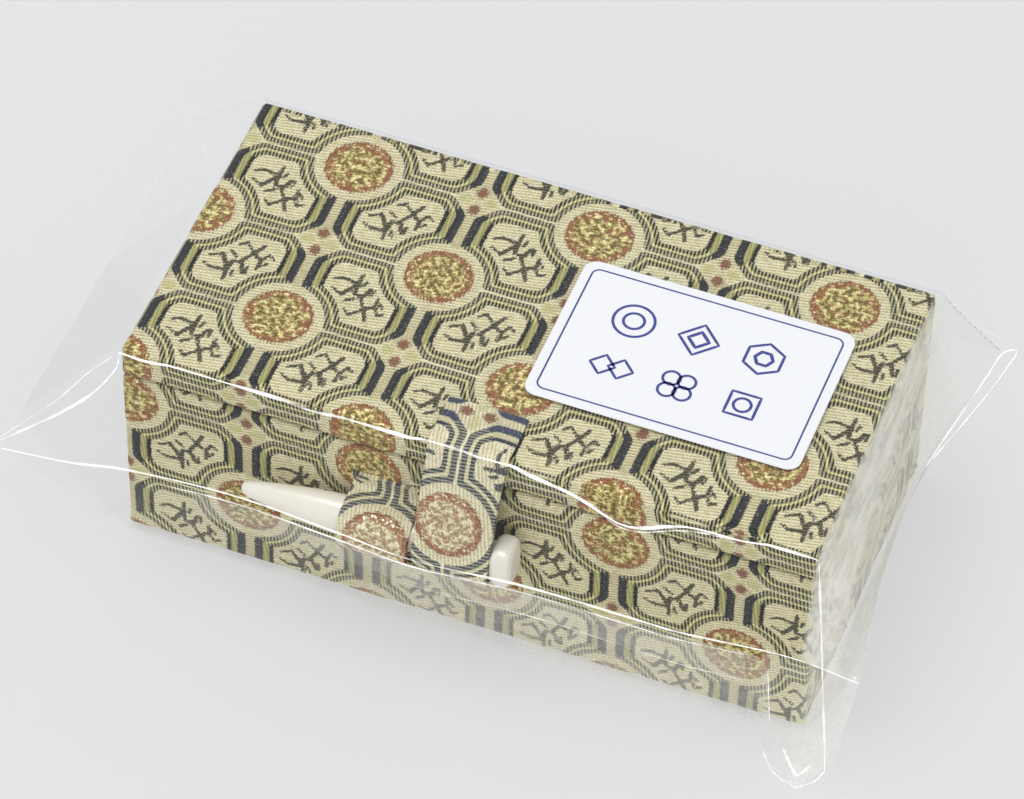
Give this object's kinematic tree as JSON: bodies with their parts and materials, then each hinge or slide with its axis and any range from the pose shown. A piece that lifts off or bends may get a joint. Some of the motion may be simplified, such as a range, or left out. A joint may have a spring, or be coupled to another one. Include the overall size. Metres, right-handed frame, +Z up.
{
  "type": "boxed ink stick",
  "caption": "Ink stick in a brocade-covered presentation box with a cloth-hinged lid, a bone peg clasp, a padded satin bed and a clear film bag.",
  "frame": {"origin": "centre of the box's footprint, at the underside of the film it rests on", "axes": "+X to the right along the long side, +Y from the clasp towards the hinge, +Z up"},
  "size_m": [0.124, 0.0714, 0.0384],
  "materials": {
    "grey_board": "raw grey board",
    "brocade": "woven silk-look brocade with a medallion lattice",
    "strap_brocade": "the same brocade, cut across its pattern",
    "satin": "soft satin",
    "bed_foam": "soft foam",
    "underside_paper": "matt paper",
    "bone": "polished bone",
    "ink": "satin black pressed ink",
    "clear_film": "clear glossy film",
    "adhesive": "hazy clear adhesive",
    "label_paper": "coated white paper with a blue border"
  },
  "bodies": {
    "base": {"base_floor_board": "grey_board", "base_front_board": "grey_board", "base_back_board": "grey_board", "base_left_board": "grey_board", "base_right_board": "grey_board", "base_brocade": "brocade", "spine_brocade": "brocade", "underside_paper": "underside_paper", "base_lining": "satin", "bed_foam": "bed_foam", "bed_satin": "satin", "inner_hinge_satin": "satin", "base_loop": "strap_brocade"},
    "lid": {"lid_top_board": "grey_board", "lid_front_rim": "grey_board", "lid_back_rim": "grey_board", "lid_left_rim": "grey_board", "lid_right_rim": "grey_board", "lid_brocade": "brocade", "lid_pad": "satin", "strap": "strap_brocade"},
    "toggle": {"toggle_peg": "bone"},
    "ink_stick": {"ink_stick": "ink"},
    "film_bag": {"film_bag": "clear_film", "label": "label_paper"},
    "film_flap": {"film_flap": "clear_film", "flap_adhesive": "adhesive"}
  },
  "joints": [
    {"name": "lid_hinge", "type": "hinge", "parent": "base", "child": "lid", "pos_m": [0, 0.0254, 0.0316], "axis": [-1, 0, 0], "range_deg": [0, 100], "deforming": ["spine_brocade", "inner_hinge_satin", "base_loop", "film_bag", "film_flap", "flap_adhesive", "label"]},
    {"name": "toggle_slide", "type": "slide", "parent": "lid", "child": "toggle", "axis": [1, 0, 0], "range_m": [0, 0.0255], "deforming": ["strap"]},
    {"name": "ink_stick_lift", "type": "slide", "parent": "base", "child": "ink_stick", "axis": [0, 0, 1], "range_m": [0, 0.003]},
    {"name": "bag_slide", "type": "slide", "parent": "base", "child": "film_bag", "axis": [0, 1, 0], "range_m": [0, 0.085], "deforming": ["film_bag", "film_flap", "flap_adhesive"]},
    {"name": "flap_hinge", "type": "hinge", "parent": "film_bag", "child": "film_flap", "pos_m": [0, -0.0266, 0.0004], "axis": [1, 0, 0], "range_deg": [0, 60]}
  ]
}
